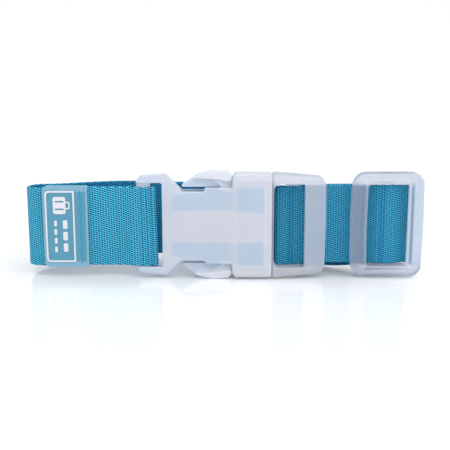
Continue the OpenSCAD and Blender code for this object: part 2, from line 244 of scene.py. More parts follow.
# %% The weave as a node group
def weave_group():
    wanted = [("Place", "NodeSocketVector", None), ("Wander", "NodeSocketFloat", 0.12)]
    given = [
        ("Height", "NodeSocketFloat"),
        ("Gap", "NodeSocketFloat"),
        ("Fibre", "NodeSocketFloat"),
        ("Patch", "NodeSocketFloat"),
    ]
    tree, start, end = new_group("Woven_Knuckles", wanted, given)
    place = start.outputs["Place"]
    loose = add_node(
        tree, "ShaderNodeTexNoise", {"Vector": place, "Scale": 0.35, "Detail": 1.0}
    )
    centred = add_node(
        tree,
        "ShaderNodeVectorMath",
        {0: loose.outputs["Color"], 1: (0.5, 0.5, 0.5)},
        operation="SUBTRACT",
    )
    shift = add_node(
        tree,
        "ShaderNodeVectorMath",
        {0: centred.outputs[0], "Scale": start.outputs["Wander"]},
        operation="SCALE",
    )
    moved = add_node(
        tree, "ShaderNodeVectorMath", {0: place, 1: shift.outputs[0]}, operation="ADD"
    ).outputs[0]
    phases = []
    for wave in (WAVE_LEFT, WAVE_RIGHT):
        turn = (2 * math.pi * wave[0], 2 * math.pi * wave[1], 0)
        dot = add_node(
            tree, "ShaderNodeVectorMath", {0: moved, 1: turn}, operation="DOT_PRODUCT"
        )
        phases.append(dot.outputs["Value"])
    between = math_node(tree, "SUBTRACT", phases[0], phases[1])
    total = math_node(tree, "COSINE", phases[0])
    for phase, weight in ((phases[1], WEIGHT_RIGHT), (between, WEIGHT_COLUMN)):
        cosine = math_node(tree, "COSINE", phase)
        total = math_node(tree, "MULTIPLY_ADD", cosine, weight, total)
    height = math_node(tree, "SUBTRACT", WEAVE_TOP, total)
    height = math_node(tree, "DIVIDE", height, WEAVE_SPAN)
    # Gap marks the pits between the threads, where the materials paint shade
    gap = add_node(
        tree,
        "ShaderNodeMapRange",
        {"Value": height, "From Min": 0.78, "From Max": 0.4, "To Min": 0.0, "To Max": 1.0},
        interpolation_type="SMOOTHSTEP",
    )
    stretch = add_node(
        tree, "ShaderNodeVectorMath", {0: moved, 1: (1.2, 9.0, 1.0)}, operation="MULTIPLY"
    )
    fibre = add_node(
        tree,
        "ShaderNodeTexNoise",
        {"Vector": stretch.outputs[0], "Scale": 1.6, "Detail": 2.0},
    )
    patch = add_node(
        tree, "ShaderNodeTexNoise", {"Vector": place, "Scale": 0.12, "Detail": 2.0}
    )
    tree.links.new(height, end.inputs["Height"])
    tree.links.new(gap.outputs[0], end.inputs["Gap"])
    tree.links.new(fibre.outputs[0], end.inputs["Fibre"])
    tree.links.new(patch.outputs[0], end.inputs["Patch"])
    return tree


woven = weave_group()
print("weave group has", len(woven.nodes), "nodes")

# %% [markdown]
# ## Mould grain
# Frosted plastic comes from a mould that was sparked or blasted, so its skin has a very fine
# grain, and the plastic itself is a little cloudy. Labels and threads show the same cloudiness
# at other scales, so this is one group with its own values in each material.


# %% The grain group
def grain_group():
    wanted = [("Grain Size", "NodeSocketFloat", 3.0), ("Cloud Size", "NodeSocketFloat", 0.1)]
    given = [("Grain", "NodeSocketFloat"), ("Cloud", "NodeSocketFloat")]
    tree, start, end = new_group("Mould_Grain", wanted, given)
    place = add_node(tree, "ShaderNodeTexCoord").outputs["Object"]
    in_mm = add_node(
        tree, "ShaderNodeVectorMath", {0: place, "Scale": 1 / MM}, operation="SCALE"
    ).outputs[0]
    grain = add_node(
        tree,
        "ShaderNodeTexNoise",
        {"Vector": in_mm, "Scale": start.outputs["Grain Size"], "Detail": 3.0},
    )
    cloud = add_node(
        tree,
        "ShaderNodeTexNoise",
        {"Vector": in_mm, "Scale": start.outputs["Cloud Size"], "Detail": 2.0},
    )
    tree.links.new(grain.outputs[0], end.inputs["Grain"])
    tree.links.new(cloud.outputs[0], end.inputs["Cloud"])
    return tree


grain = grain_group()
print("grain group has", len(grain.nodes), "nodes")

# %% [markdown]
# ## The webbing's finish
# Dyed polyester has a soft shine: the knuckles catch the light, the gaps between them are deep
# and dark. That light and shade are painted into the colour: it runs from a navy of painted
# shade in the gaps to a sky blue of painted highlight on the knuckles and fibres, with the
# weave's own height, and a bump from that height and from the fibres breaks the shine. Shade is
# also painted where the strip runs under the plastic frames, in its creases and on its inner
# face.


# %% Webbing material
def webbing_material():
    mat, tree, shader = new_material("Webbing_Blue")
    place = add_node(tree, "ShaderNodeAttribute", attribute_name="strip_place")
    weave = use_group(tree, woven, {"Place": place.outputs["Vector"], "Wander": 0.25})
    body = mix_colour(tree, weave.outputs["Patch"], srgb(0, 138, 194), srgb(2, 156, 210))
    # painted highlight: the fibres, and then the knuckles by their height, are mixed towards a
    # light sky blue
    bright = mix_colour(tree, weave.outputs["Fibre"], body, srgb(118, 238, 255))
    lit = mix_colour(tree, weave.outputs["Height"], body, bright)
    # painted shade: the pits between the threads are mixed towards navy
    colour = mix_colour(tree, weave.outputs["Gap"], lit, srgb(0, 24, 62))
    # painted shade where the strip runs under the plastic frames, in its creases and on its
    # inner face
    painted_shade = add_node(tree, "ShaderNodeAttribute", attribute_name="painted_shade")
    colour = mix_colour(tree, painted_shade.outputs["Fac"], colour, srgb(0, 92, 144))
    tree.links.new(colour, shader.inputs["Base Color"])
    skin_roughness(tree, shader, weave.outputs["Height"], 0.75, 0.42)
    fuzz = math_node(
        tree, "MULTIPLY_ADD", weave.outputs["Fibre"], 0.25, weave.outputs["Height"]
    )
    skin_bump(tree, shader, fuzz, 1.0, 0.0004)
    shader.inputs["Specular IOR Level"].default_value = 0.12
    return mat


webbing_blue = webbing_material()
print("made", webbing_blue.name)

# %% [markdown]
# ## Frosted plastic
# The buckle is moulded from a clear resin with a frosted skin, so light goes in, scatters and
# comes out softly, and the blue strap behind it tints it. A shader that is partly rough glass
# and partly white plastic gives that look. The thin adjuster is the clearest piece and the arms
# are the milkiest. Where two thin plates are all there is, the plastic looks clearer and bluer,
# and where ribs and the plug's blade add up, it looks whiter. A measure of how much plastic
# stands one behind the other is stored on each point, and the shader reads it.


# %% Plastic material
def plastic_material(name, clearness):
    mat, tree, shader = new_material(name)
    skin = use_group(tree, grain, {"Grain Size": 3.2, "Cloud Size": 0.09})
    depth = add_node(tree, "ShaderNodeAttribute", attribute_name="plastic_depth")
    full = add_node(
        tree,
        "ShaderNodeMapRange",
        {"Value": depth.outputs["Fac"], "From Min": 3.6, "From Max": 9.5},
        interpolation_type="SMOOTHSTEP",
    )
    clear = mix_colour(tree, skin.outputs["Cloud"], srgb(206, 222, 240), srgb(214, 228, 244))
    milky = mix_colour(tree, skin.outputs["Cloud"], srgb(228, 231, 242), srgb(236, 238, 247))
    body = mix_colour(tree, full.outputs[0], clear, milky)
    # painted highlight: a faint light line where an inner wall starts or ends
    wall = add_node(tree, "ShaderNodeAttribute", attribute_name="painted_wall_light")
    colour = mix_colour(tree, wall.outputs["Fac"], body, srgb(250, 250, 254))
    tree.links.new(colour, shader.inputs["Base Color"])
    skin_roughness(tree, shader, skin.outputs["Grain"], 0.34, 0.5)
    skin_bump(tree, shader, skin.outputs["Grain"], 0.25, 0.00006)
    shader.inputs["Transmission Weight"].default_value = clearness
    shader.inputs["IOR"].default_value = 1.46
    return mat


frosted_socket = plastic_material("Frosted_Socket", 0.4)
frosted_plug = plastic_material("Frosted_Plug", 0.6)
frosted_arms = plastic_material("Frosted_Arms", 0.28)
frosted_slide = plastic_material("Frosted_Slide", 0.82)
print("made", frosted_socket.name, frosted_plug.name, frosted_arms.name, frosted_slide.name)

# %% [markdown]
# ## Label and print
# The label is soft translucent vinyl. Inside its printed border it is a thin panel, and the
# strap's blue and its weave show dimly through. Outside the border and along the right rim it
# is thicker and milkier. Each point of its mesh stores which zone it is in and where the strap
# is behind it. The print is raised and filled with opaque white. Thread is bright blue
# polyester, twisted from strands.


# %% Label, print and thread materials
def label_material():
    mat, tree, shader = new_material("Label_Vinyl")
    skin = use_group(tree, grain, {"Grain Size": 2.0, "Cloud Size": 0.12})
    place = add_node(tree, "ShaderNodeAttribute", attribute_name="strip_place")
    weave = use_group(tree, woven, {"Place": place.outputs["Vector"], "Wander": 0.25})
    zone = add_node(tree, "ShaderNodeAttribute", attribute_name="milky_zone")
    thin = mix_colour(tree, skin.outputs["Cloud"], srgb(100, 176, 204), srgb(114, 184, 210))
    # the weave seen through the panel, with painted shade in its pits
    veiled = mix_colour(
        tree, math_node(tree, "MULTIPLY", weave.outputs["Gap"], 0.3), thin, srgb(70, 140, 172)
    )
    milky = mix_colour(tree, skin.outputs["Cloud"], srgb(140, 194, 218), srgb(158, 204, 226))
    colour = mix_colour(tree, zone.outputs["Fac"], veiled, milky)
    tree.links.new(colour, shader.inputs["Base Color"])
    skin_roughness(tree, shader, skin.outputs["Grain"], 0.28, 0.4)
    skin_bump(tree, shader, skin.outputs["Grain"], 0.2, 0.00005)
    shader.inputs["Transmission Weight"].default_value = 0.35
    shader.inputs["IOR"].default_value = 1.4
    return mat


UNEVEN = 0.08


def solid_material(name, dark, light, grain_size, roughness, bump_height):
    mat, tree, shader = new_material(name)
    skin = use_group(tree, grain, {"Grain Size": grain_size, "Cloud Size": 0.3})
    colour = mix_colour(tree, skin.outputs["Cloud"], dark, light)
    tree.links.new(colour, shader.inputs["Base Color"])
    skin_roughness(
        tree, shader, skin.outputs["Grain"], roughness - UNEVEN, roughness + UNEVEN
    )
    skin_bump(tree, shader, skin.outputs["Grain"], 0.4, bump_height)
    return mat


vinyl = label_material()
print_white = solid_material(
    "Print_White", srgb(206, 208, 214), srgb(222, 223, 228), 2.5, 0.5, 0.00004
)
thread_blue = solid_material(
    "Thread_Blue", srgb(0, 142, 190), srgb(14, 164, 208), 6.0, 0.5, 0.00005
)
print("made", vinyl.name, print_white.name, thread_blue.name)

# %% [markdown]
# ## Laying the webbing
# Webbing is a flat strip that bends only about its short side, so it is laid along a line seen
# from above. The line is a few corners, each with a bend radius. The strip's section is a flat
# oval with rounded selvages, and the weave's formula lifts each point of both faces.


# %% The line that the strip follows
BEND_STEP = 0.15
NEARLY_STRAIGHT = 0.001
TOO_CLOSE = 0.01


def rounded_line(corners):
    """Corners (x, depth, bend radius) in mm become a line of points with round bends."""
    points = [Vector(corners[0][:2])]
    for before, here, after in zip(corners, corners[1:], corners[2:]):
        p, a, b = Vector(here[:2]), Vector(before[:2]), Vector(after[:2])
        to_a, to_b = (a - p).normalized(), (b - p).normalized()
        opening = to_a.angle(to_b)
        if here[2] <= 0 or opening > math.pi - NEARLY_STRAIGHT:
            points.append(p)
            continue
        reach = here[2] / math.tan(opening / 2)
        centre = p + (to_a + to_b).normalized() * (here[2] / math.sin(opening / 2))
        first, last = p + to_a * reach, p + to_b * reach
        sweep = (first - centre).angle_signed(last - centre)
        steps = max(4, int(abs(sweep) / BEND_STEP))
        for i in range(steps + 1):
            turn = -sweep * i / steps
            arm = first - centre
            c, s = math.cos(turn), math.sin(turn)
            points.append(centre + Vector((arm.x * c - arm.y * s, arm.x * s + arm.y * c)))
    points.append(Vector(corners[-1][:2]))
    kept = [points[0]]
    for p in points[1:]:
        if (p - kept[-1]).length > TOO_CLOSE:
            kept.append(p)
    return kept


def even_stations(points, step):
    """The same line as (point, direction, distance), a step apart."""
    lengths = [0.0]
    for a, b in zip(points, points[1:]):
        lengths.append(lengths[-1] + (b - a).length)
    count = max(2, math.ceil(lengths[-1] / step))
    stations, k = [], 0
    for i in range(count + 1):
        s = lengths[-1] * i / count
        while k < len(points) - 2 and lengths[k + 1] < s:
            k += 1
        share = (s - lengths[k]) / (lengths[k + 1] - lengths[k])
        stations.append((points[k].lerp(points[k + 1], share), s))
    places = []
    for i, (p, s) in enumerate(stations):
        ahead = stations[min(i + 1, count)][0] - stations[max(i - 1, 0)][0]
        places.append((p, ahead.normalized(), s))
    return places


# %% Values kept on the points of a mesh
def store_numbers(mesh, name, values):
    attribute = mesh.attributes.new(name, "FLOAT", "POINT")
    attribute.data.foreach_set("value", values)


def store_places(mesh, name, places):
    attribute = mesh.attributes.new(name, "FLOAT_VECTOR", "POINT")
    attribute.data.foreach_set("vector", [c for place in places for c in place])


# %% The strip's section, in mm
HALF_WIDTH = web_width / MM / 2
SELVAGE = 0.9
SELVAGE_RINGS = [0.35, 0.68, 0.9, 1.0]
RELIEF_DEEP, RELIEF_PROUD = 0.15, 0.03
SCALLOP, SCALLOP_PITCH = 0.12, 1.604
CREASE, CREASE_WIDE = 0.32, 0.45
# painted shade on the strip's inner face and in its creases
INNER_SHADE, CREASE_SHADE = 0.7, 0.5


def across_places(step):
    flat = HALF_WIDTH - SELVAGE
    count = math.ceil(2 * flat / step)
    inner = [-flat + 2 * flat * i / count for i in range(count + 1)]
    left = [-flat - SELVAGE * r for r in reversed(SELVAGE_RINGS)]
    return left + inner + [flat + SELVAGE * r for r in SELVAGE_RINGS]


def into_selvage(u):
    """0 on the flat of the strip, rising to 1 at its edge."""
    return max(0.0, abs(u) - (HALF_WIDTH - SELVAGE)) / SELVAGE


def half_thickness(u):
    return web_thick / MM / 2 * math.sqrt(max(0.0, 1 - into_selvage(u) ** 2))


def crease_depth(x, creases):
    """How far the cloth sinks at x where it is pressed over the edge of a bar."""
    return sum(CREASE * math.exp(-(((x - c) / CREASE_WIDE) ** 2)) for c in creases)


print("selvage", SELVAGE, "mm wide, relief", RELIEF_DEEP + RELIEF_PROUD, "mm")


# %% The strip's faces
def strip_faces(rows, n):
    """Quads round every ring of 2n - 2 points, and a cap of quads at both ends."""
    m = 2 * n - 2
    faces = []
    for i in range(rows - 1):
        for j in range(m):
            a, b = i * m + j, i * m + (j + 1) % m
            faces.append((a, b, b + m, a + m))
    last = (rows - 1) * m
    for j in range(n - 1):
        mirror_j, mirror_k = (m - j) % m, (m - j - 1) % m
        if j == 0:
            faces.append((0, mirror_k, 1))
            faces.append((last, last + 1, last + mirror_k))
        elif j == n - 2:
            faces.append((j, mirror_j, j + 1))
            faces.append((last + j, last + j + 1, last + mirror_j))
        else:
            faces.append((j, mirror_j, mirror_k, j + 1))
            faces.append((last + j, last + j + 1, last + mirror_k, last + mirror_j))
    return faces


# %% Lay one strip
RUNS_LEFT = -0.8
FINE_STEPS, COARSE_STEPS = (0.42, 0.32), (0.6, 0.5)


def lay_strip(
    name,
    corners,
    low_start,
    low_end,
    begins_at,
    steps=FINE_STEPS,
    creases=(),
    dip=0,
    lean=0,
    painted_shade=(0, 0),
):
    """A strip of webbing along the corners; begins_at is its first millimetre in the strap.
    steps are the mesh's, along the strip and across it. creases are the places in x where
    it is pressed over a bar; it sinks there, and shade is painted there. dip lowers its middle,
    and lean pushes the lower edge of its middle along x. All these are in mm. The last argument
    is the shade painted into the strip's colour at both ends, 0 to 1; shade is painted on its
    inner face too."""
    stations = even_stations(rounded_line(corners), steps[0])
    total = stations[-1][2]
    us = across_places(steps[1])
    verts, places, painted_shades = [], [], []
    for p, ahead, s in stations:
        share = s / total
        low = low_start + (low_end - low_start) * share * share * (3 - 2 * share)
        middle = math.sin(math.pi * share) ** 2
        low -= dip * middle
        normal = Vector((-ahead.y, ahead.x))
        along = -(begins_at + s)
        ring = [(u, 1) for u in us] + [(u, -1) for u in reversed(us[1:-1])]
        for u, side in ring:
            edge = into_selvage(u)
            outer = side > 0 and ahead.x < RUNS_LEFT
            crease = crease_depth(p.x, creases) if outer else 0
            lift = weave_height(along, -u) * (RELIEF_DEEP + RELIEF_PROUD) - RELIEF_DEEP
            lift -= crease
            # painted shade: a set amount along the strip, more on its inner face and in its
            # creases
            shade = painted_shade[0] + (painted_shade[1] - painted_shade[0]) * share
            if side < 0:
                shade = max(shade, INNER_SHADE * (1 - edge))
            painted_shades.append(min(1, shade + crease / CREASE * CREASE_SHADE))
            off = side * max(0.0, half_thickness(u) + lift * (1 - edge))
            scallop = SCALLOP * edge * (math.cos(2 * math.pi * along / SCALLOP_PITCH) - 1)
            z = low + HALF_WIDTH + u + math.copysign(scallop, u)
            x, v = p.x + normal.x * off, p.y + normal.y * off
            x += lean * middle * (0.5 - u / (2 * HALF_WIDTH))
            verts.append((x * MM, front_y + v * MM, z * MM))
            places.append((along, -u, 0.5 * side))
    mesh = bpy.data.meshes.new(name)
    mesh.from_pydata(verts, [], strip_faces(len(stations), len(us)))
    mesh.update()
    bm = bmesh.new()
    bm.from_mesh(mesh)
    bmesh.ops.recalc_face_normals(bm, faces=bm.faces)
    bm.to_mesh(mesh)
    bm.free()
    store_places(mesh, "strip_place", places)
    store_numbers(mesh, "painted_shade", painted_shades)
    mesh.shade_smooth()
    obj = put_in_scene(name, mesh)
    mesh.materials.append(webbing_blue)
    print(name, round(total, 1), "mm long,", len(mesh.polygons), "faces")
    return obj, total


# %% [markdown]
# ## The strap's route
# One strip of webbing makes the whole strap. It is sewn round the socket's bar, runs to the
# left, turns back behind the buckle, doubles through the adjuster and round the plug's bar, and
# is sewn to the adjuster. It is cut here where it passes from one moving body to the next.
# Corners are (x, depth behind the front run, bend radius), all in mm.

# %% Levels of the strip
web_low = front_low.z / MM
bend_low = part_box("webbing_left_bend")[0].z / MM
table_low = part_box("webbing_back_run")[0].z / MM
pass_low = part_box("webbing_adjuster_pass")[0].z / MM
split_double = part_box("webbing_plug_loop")[1].x / MM
split_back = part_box("webbing_back_run")[1].x / MM
bend_start = front_low.x / MM
run_start = front_high.x / MM
# shade painted on the strip where it runs under the plastic frames, 0 to 1
PAINTED_FRAME_SHADE = 0.3
print("lower edge of the strip:", round(web_low, 2), round(bend_low, 2), round(table_low, 2))

# %% Socket fold, front run and left bend
fold_route = [
    (-97, 1.46, 0),
    (-62, 1.46, 6),
    (-56.8, 3.5, 6),
    (-43.1, 3.5, 2.9),
    (-43.1, -2.3, 2.9),
    (-56.8, -2.3, 6),
    (-62, 0, 6),
    (run_start, 0, 0),
]
left_end, bend_end = -124.3, (-105.295, 37.65, 0)
left_route = [(bend_start, 0, 0), (left_end, 0, 13), (left_end, 31, 13), bend_end]
socket_fold, length_fold = lay_strip(
    "strap_socket_fold",
    fold_route,
    web_low,
    web_low,
    0,
    creases=(-51.3, -48.2, -45.6),
    lean=1.9,
)
front_run, length_front = lay_strip(
    "strap_front_run", [(run_start, 0, 0), (bend_start, 0, 0)], web_low, web_low, length_fold
)
reached = length_fold + length_front
left_bend, length_bend = lay_strip("strap_left_bend", left_route, web_low, bend_low, reached)
reached += length_bend

# %% Back run, turn and adjuster pass
back_end, turn_end = (split_back, 27.5, 0), (107.3, 0.04, 0)
back_route = [
    bend_end,
    (-70, 50, 60),
    (-25, 50, 80),
    (32, 38.5, 120),
    back_end,
]
turn_route = [
    back_end,
    (78, 20.4, 60),
    (118.2, 12.4, 3.6),
    (118.2, 4.9, 3.2),
    (112.6, 3, 6),
    turn_end,
]
pass_route = [turn_end, (106.3, -0.51, 3), (96.5, -0.51, 3), (91, 2.5, 4), (72, 2.5, 0)]
back_run, length_back = lay_strip(
    "strap_back_run", back_route, bend_low, table_low, reached, COARSE_STEPS
)
reached += length_back
turn, length_turn = lay_strip(
    "strap_turn", turn_route, table_low, pass_low, reached, painted_shade=(0, PAINTED_FRAME_SHADE)
)
reached += length_turn
adjuster_pass, length_pass = lay_strip(
    "strap_adjuster_pass",
    pass_route,
    pass_low,
    pass_low,
    reached,
    creases=(98.2, 100.1),
    painted_shade=(PAINTED_FRAME_SHADE, PAINTED_FRAME_SHADE),
)
reached += length_pass

# %% Plug loop and end loop
plug_route = [
    (split_double, 2.5, 0),
    (66.5, 2.5, 8),
    (58, 1.45, 8),
    (32.85, 1.45, 2.25),
    (32.85, 5.95, 2.25),
    (58, 5.95, 8),
    (66.5, 5.45, 8),
    (split_double, 5.45, 0),
]
end_route = [
    (split_double, 5.45, 0),
    (105.85, 5.45, 2.25),
    (105.85, 0.95, 2.25),
    (98.5, 0.95, 3),
    (92.9, 3.99, 4),
    (81, 3.99, 0),
]
plug_loop, length_plug = lay_strip(
    "strap_plug_loop",
    plug_route,
    pass_low,
    pass_low,
    reached,
    creases=(41.3, 43.2),
    dip=1.3,
    painted_shade=(PAINTED_FRAME_SHADE, PAINTED_FRAME_SHADE),
)
reached += length_plug
end_loop, length_end = lay_strip(
    "strap_end_loop", end_route, pass_low, pass_low, reached, painted_shade=(PAINTED_FRAME_SHADE, PAINTED_FRAME_SHADE)
)
reached += length_end
print("one strip of webbing,", round(reached, 1), "mm long")

# %% Join the strips to the moving bodies
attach(socket_fold, "socket_half")
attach(front_run, "socket_half")
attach(left_bend, "socket_half")
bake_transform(back_run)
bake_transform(turn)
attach(adjuster_pass, "adjuster_slide_body")
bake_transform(plug_loop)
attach(end_loop, "adjuster_slide_body")

# %% Say what each strip stands for, and its cut size
STRIPS = [
    (socket_fold, "webbing_socket_fold", length_fold, "folded", "socket"),
    (front_run, "webbing_front_run", length_front, "stretched", "strap_socket_fold"),
    (left_bend, "webbing_left_bend", length_bend, "stretched", "strap_front_run"),
    (back_run, "webbing_back_run", length_back, "stretched", "strap_left_bend"),
    (turn, "webbing_turn", length_turn, "folded", "strap_back_run"),
    (adjuster_pass, "webbing_adjuster_pass", length_pass, "stretched", "adjuster"),
    (plug_loop, "webbing_plug_loop", length_plug, "folded", "plug_base"),
    (end_loop, "webbing_end_loop", length_end, "folded", "adjuster"),
]
for strip, node, length, held, rests in STRIPS:
    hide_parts(node)
print(len(STRIPS), "sheets, each", round(web_width / MM), "mm wide")

# %% [markdown]
# ## Moulded pieces
# The buckle, the adjuster and the label are mouldings: every edge has a small radius, and each
# face runs softly into the next. The CAD solids have the right shapes with sharp edges. Copying
# a solid, covering it with an even skin of small squares and relaxing that skin rounds every
# edge, the way a polished mould does.


# %% Soften a CAD solid
SAME_POINT = 1e-6


def moulded(node, name, skin, rounds, material):
    """A softened copy. skin is the size of its squares in mm, rounds how often it relaxes."""
    obj = put_in_scene(name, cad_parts[node].data.copy())
    bm = bmesh.new()
    bm.from_mesh(obj.data)
    bmesh.ops.remove_doubles(bm, verts=bm.verts, dist=SAME_POINT)
    bm.to_mesh(obj.data)
    bm.free()
    remesh = obj.modifiers.new("skin", "REMESH")
    remesh.mode = "VOXEL"
    remesh.voxel_size = skin * MM
    relax = obj.modifiers.new("relax", "SMOOTH")
    relax.factor = 0.5
    relax.iterations = rounds
    graph = bpy.context.evaluated_depsgraph_get()
    final = bpy.data.meshes.new_from_object(obj.evaluated_get(graph))
    obj.modifiers.clear()
    obj.data = final
    final.name = name
    final.shade_smooth()
    final.materials.clear()
    final.materials.append(material)
    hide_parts(node)
    print(name, len(final.polygons), "faces")
    return obj


# %% [markdown]
# ## How much plastic stands one behind the other
# Frosted plastic looks whiter where more of it stands in the way. Rays go through the solids
# from front to back on an even grid, and the plastic that each one meets is added up. The
# result is evened out, because frosted plastic blurs what is inside it. Where the amount jumps,
# at the edge of an inner wall, a faint light line is painted as a highlight. Both maps are
# stored on the points.

# %% Depth and wall maps
DEPTH_STEP = 0.55
WALL_JUMP = 4.0
WALL_LIGHT_STRENGTH = 0.5
RIB_PLACE = 8.4
SOCKET_NECK = 16.0
MILKY_DEPTH = 9.0
DEPTH_SOFTNESS, WALL_SOFTNESS = 8, 2
MOST_HITS = 20
OFF_EDGE, PAST_HIT, IN_FRONT = 1e-5, 1e-6, 0.01
INSIDE_GRID = 0.001


def plastic_depth_map(nodes):
    """Millimetres of plastic met on the way through, front to back, on a grid of x and z."""
    low, high = cad_box
    columns = math.ceil((high.x - low.x) / MM / DEPTH_STEP) + 1
    rows = math.ceil((high.z - low.z) / MM / DEPTH_STEP) + 1
    grid = np.zeros((columns, rows))
    for node in nodes:
        bm = bmesh.new()
        bm.from_mesh(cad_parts[node].data)
        solid = BVHTree.FromBMesh(bm)
        bm.free()
        node_low, node_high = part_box(node)
        for i in range(columns):
            x = low.x + i * DEPTH_STEP * MM + OFF_EDGE
            if not node_low.x < x < node_high.x:
                continue
            for k in range(rows):
                z = low.z + k * DEPTH_STEP * MM + OFF_EDGE
                if node_low.z < z < node_high.z:
                    grid[i, k] += depth_along(solid, x, z, low.y - IN_FRONT) / MM
    return grid


def fill_middle(grid):
    """Between its two ribs the socket is milky all along, with or without the plug's blade."""
    start = (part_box("socket")[0].x - cad_box[0].x) / MM + SOCKET_NECK
    stop = (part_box("socket")[1].x - cad_box[0].x) / MM
    middle = (mid_height - cad_box[0].z) / MM
    part = grid[
        int(start / DEPTH_STEP) : int(stop / DEPTH_STEP),
        int((middle - RIB_PLACE) / DEPTH_STEP) : int((middle + RIB_PLACE) / DEPTH_STEP),
    ]
    np.maximum(part, MILKY_DEPTH, out=part)
    return grid


def blurred(grid, rounds):
    """The same grid, each value evened out with its neighbours, as frosted plastic does."""
    for _ in range(rounds):
        edged = np.pad(grid, 1, mode="edge")
        near = edged[:-2, 1:-1] + edged[2:, 1:-1] + edged[1:-1, :-2] + edged[1:-1, 2:]
        grid = (2 * grid + near) / 6
    return grid


def wall_map(grid):
    """1 where an inner wall starts or ends, so the depth jumps, and 0 elsewhere."""
    edged = np.pad(grid, 1, mode="edge")
    jump = abs(edged[2:, 1:-1] - edged[:-2, 1:-1]) + abs(edged[1:-1, 2:] - edged[1:-1, :-2])
    return np.minimum(1.0, jump / WALL_JUMP) * WALL_LIGHT_STRENGTH


def depth_along(solid, x, z, start_y):
    """Metres of the solid on the way back from start_y."""
    met, inside, y = 0.0, False, start_y
    for _ in range(MOST_HITS):
        hit = solid.ray_cast(Vector((x, y, z)), Vector((0, 1, 0)))
        if hit[0] is None:
            break
        if inside:
            met += hit[0].y - last
        last, inside = hit[0].y, not inside
        y = hit[0].y + PAST_HIT
    return met


def store_grid(obj, name, grid):
    """Reads the grid at each point, between its four nearest values."""
    low = cad_box[0]
    last_i, last_k = grid.shape[0] - 1 - INSIDE_GRID, grid.shape[1] - 1 - INSIDE_GRID
    values = []
    for vert in obj.data.vertices:
        i = min(max((vert.co.x - low.x) / MM / DEPTH_STEP, 0), last_i)
        k = min(max((vert.co.z - low.z) / MM / DEPTH_STEP, 0), last_k)
        a, b, s, t = int(i), int(k), i % 1, k % 1
        near = grid[a, b] * (1 - t) + grid[a, b + 1] * t
        far = grid[a + 1, b] * (1 - t) + grid[a + 1, b + 1] * t
        values.append(near * (1 - s) + far * s)
    store_numbers(obj.data, name, values)


def store_depth(obj):
    store_grid(obj, "plastic_depth", soft_depth)
    store_grid(obj, "painted_wall_light", painted_wall_lines)


depth_map = plastic_depth_map(["socket", "plug_base", "upper_arm", "lower_arm", "adjuster"])
depth_map = fill_middle(depth_map)
# the painted highlight lines at inner walls
painted_wall_lines = blurred(wall_map(depth_map), WALL_SOFTNESS)
soft_depth = blurred(depth_map, DEPTH_SOFTNESS)
print("deepest plastic", round(depth_map.max(), 1), "mm")

# %% [markdown]
# ## The adjuster's rim
# Round its opening the adjuster has a raised, rounded rim, so that the webbing isn't cut by an
# edge. Outside the rim the face dips a little, and the frame's left side swells at its middle.
# Each is a small push on the points of the front face, by their distance from the opening.

# %% A soft rim round the adjuster's opening, and a bowed side
RIM_PLACE, RIM_WIDE, RIM_RISE = 1.0, 1.0, 0.75
DISH_PLACE, DISH_WIDE, DISH = 4.0, 1.8, 0.5
BOW = 0.8
FACES_FRONT = -0.3
SIDE_SHARE, END_SHARE, RIGHT_SIDE = 0.235, 0.1075, 0.9


def raise_rim(obj):
    """Lifts the rim, sinks the dish outside it, and bows the frame's left side; all in mm."""
    low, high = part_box("adjuster")
    room_low, room_high = adjuster_opening(low, high)
    in_front = [vert.normal.y < FACES_FRONT for vert in obj.data.vertices]
    for vert, is_front in zip(obj.data.vertices, in_front):
        x, z = vert.co.x, vert.co.z
        apart = max(room_low.x - x, x - room_high.x, room_low.z - z, z - room_high.z) / MM
        if is_front and apart > 0:
            vert.co.y -= RIM_RISE * MM * math.exp(-(((apart - RIM_PLACE) / RIM_WIDE) ** 2))
            vert.co.y += DISH * MM * math.exp(-(((apart - DISH_PLACE) / DISH_WIDE) ** 2))
        height = (z - mid_height) / (high.z - mid_height)
        if x < room_low.x:
            vert.co.x -= BOW * MM * (1 - height**2)


def adjuster_opening(low, high):
    """The opening's two corners, as shares of the frame's own width and height."""
    side = (high.x - low.x) * SIDE_SHARE
    end = (high.z - low.z) * END_SHARE
    return (
        Vector((low.x + side, low.y, low.z + end)),
        Vector((high.x - side * RIGHT_SIDE, high.y, high.z - end)),
    )


# %% Socket, plug and adjuster
buckle_socket = moulded("socket", "buckle_socket", 0.55, 4, frosted_socket)
buckle_plug = moulded("plug_base", "buckle_plug", 0.45, 4, frosted_plug)
slide = moulded("adjuster", "slide_adjuster", 0.42, 5, frosted_slide)
raise_rim(slide)
for plastic in (buckle_socket, buckle_plug, slide):
    store_depth(plastic)
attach(buckle_socket, "socket_half")
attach(buckle_plug, "plug_half")
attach(slide, "adjuster_slide_body")

# %% [markdown]
# ## Latch arms
# On the real plug the two arms are part of the same moulding. When they are pressed they bend
# near their roots. Here each arm's root reaches into the plug.


# %% Upper and lower arm
ROOT_END, ROOT_REACH, BEND_LONG = 1.5, 1.6, 10


def latch_arm(node):
    """The arm's last ROOT_END mm go ROOT_REACH into the plug."""
    arm = moulded(node, "latch_" + node, 0.33, 3, frosted_arms)
    store_depth(arm)
    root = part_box(node)[1].x
    for vert in arm.data.vertices:
        if vert.co.x > root - ROOT_END * MM:
            vert.co.x += ROOT_REACH * MM
    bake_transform(arm)


latch_arm("upper_arm")
latch_arm("lower_arm")

# %% [markdown]
# ## Label
# The label is one soft moulding. A seam holds its right rim, and the rest is free to lift like
# a page. The free part's mesh reaches a little over the seam side.

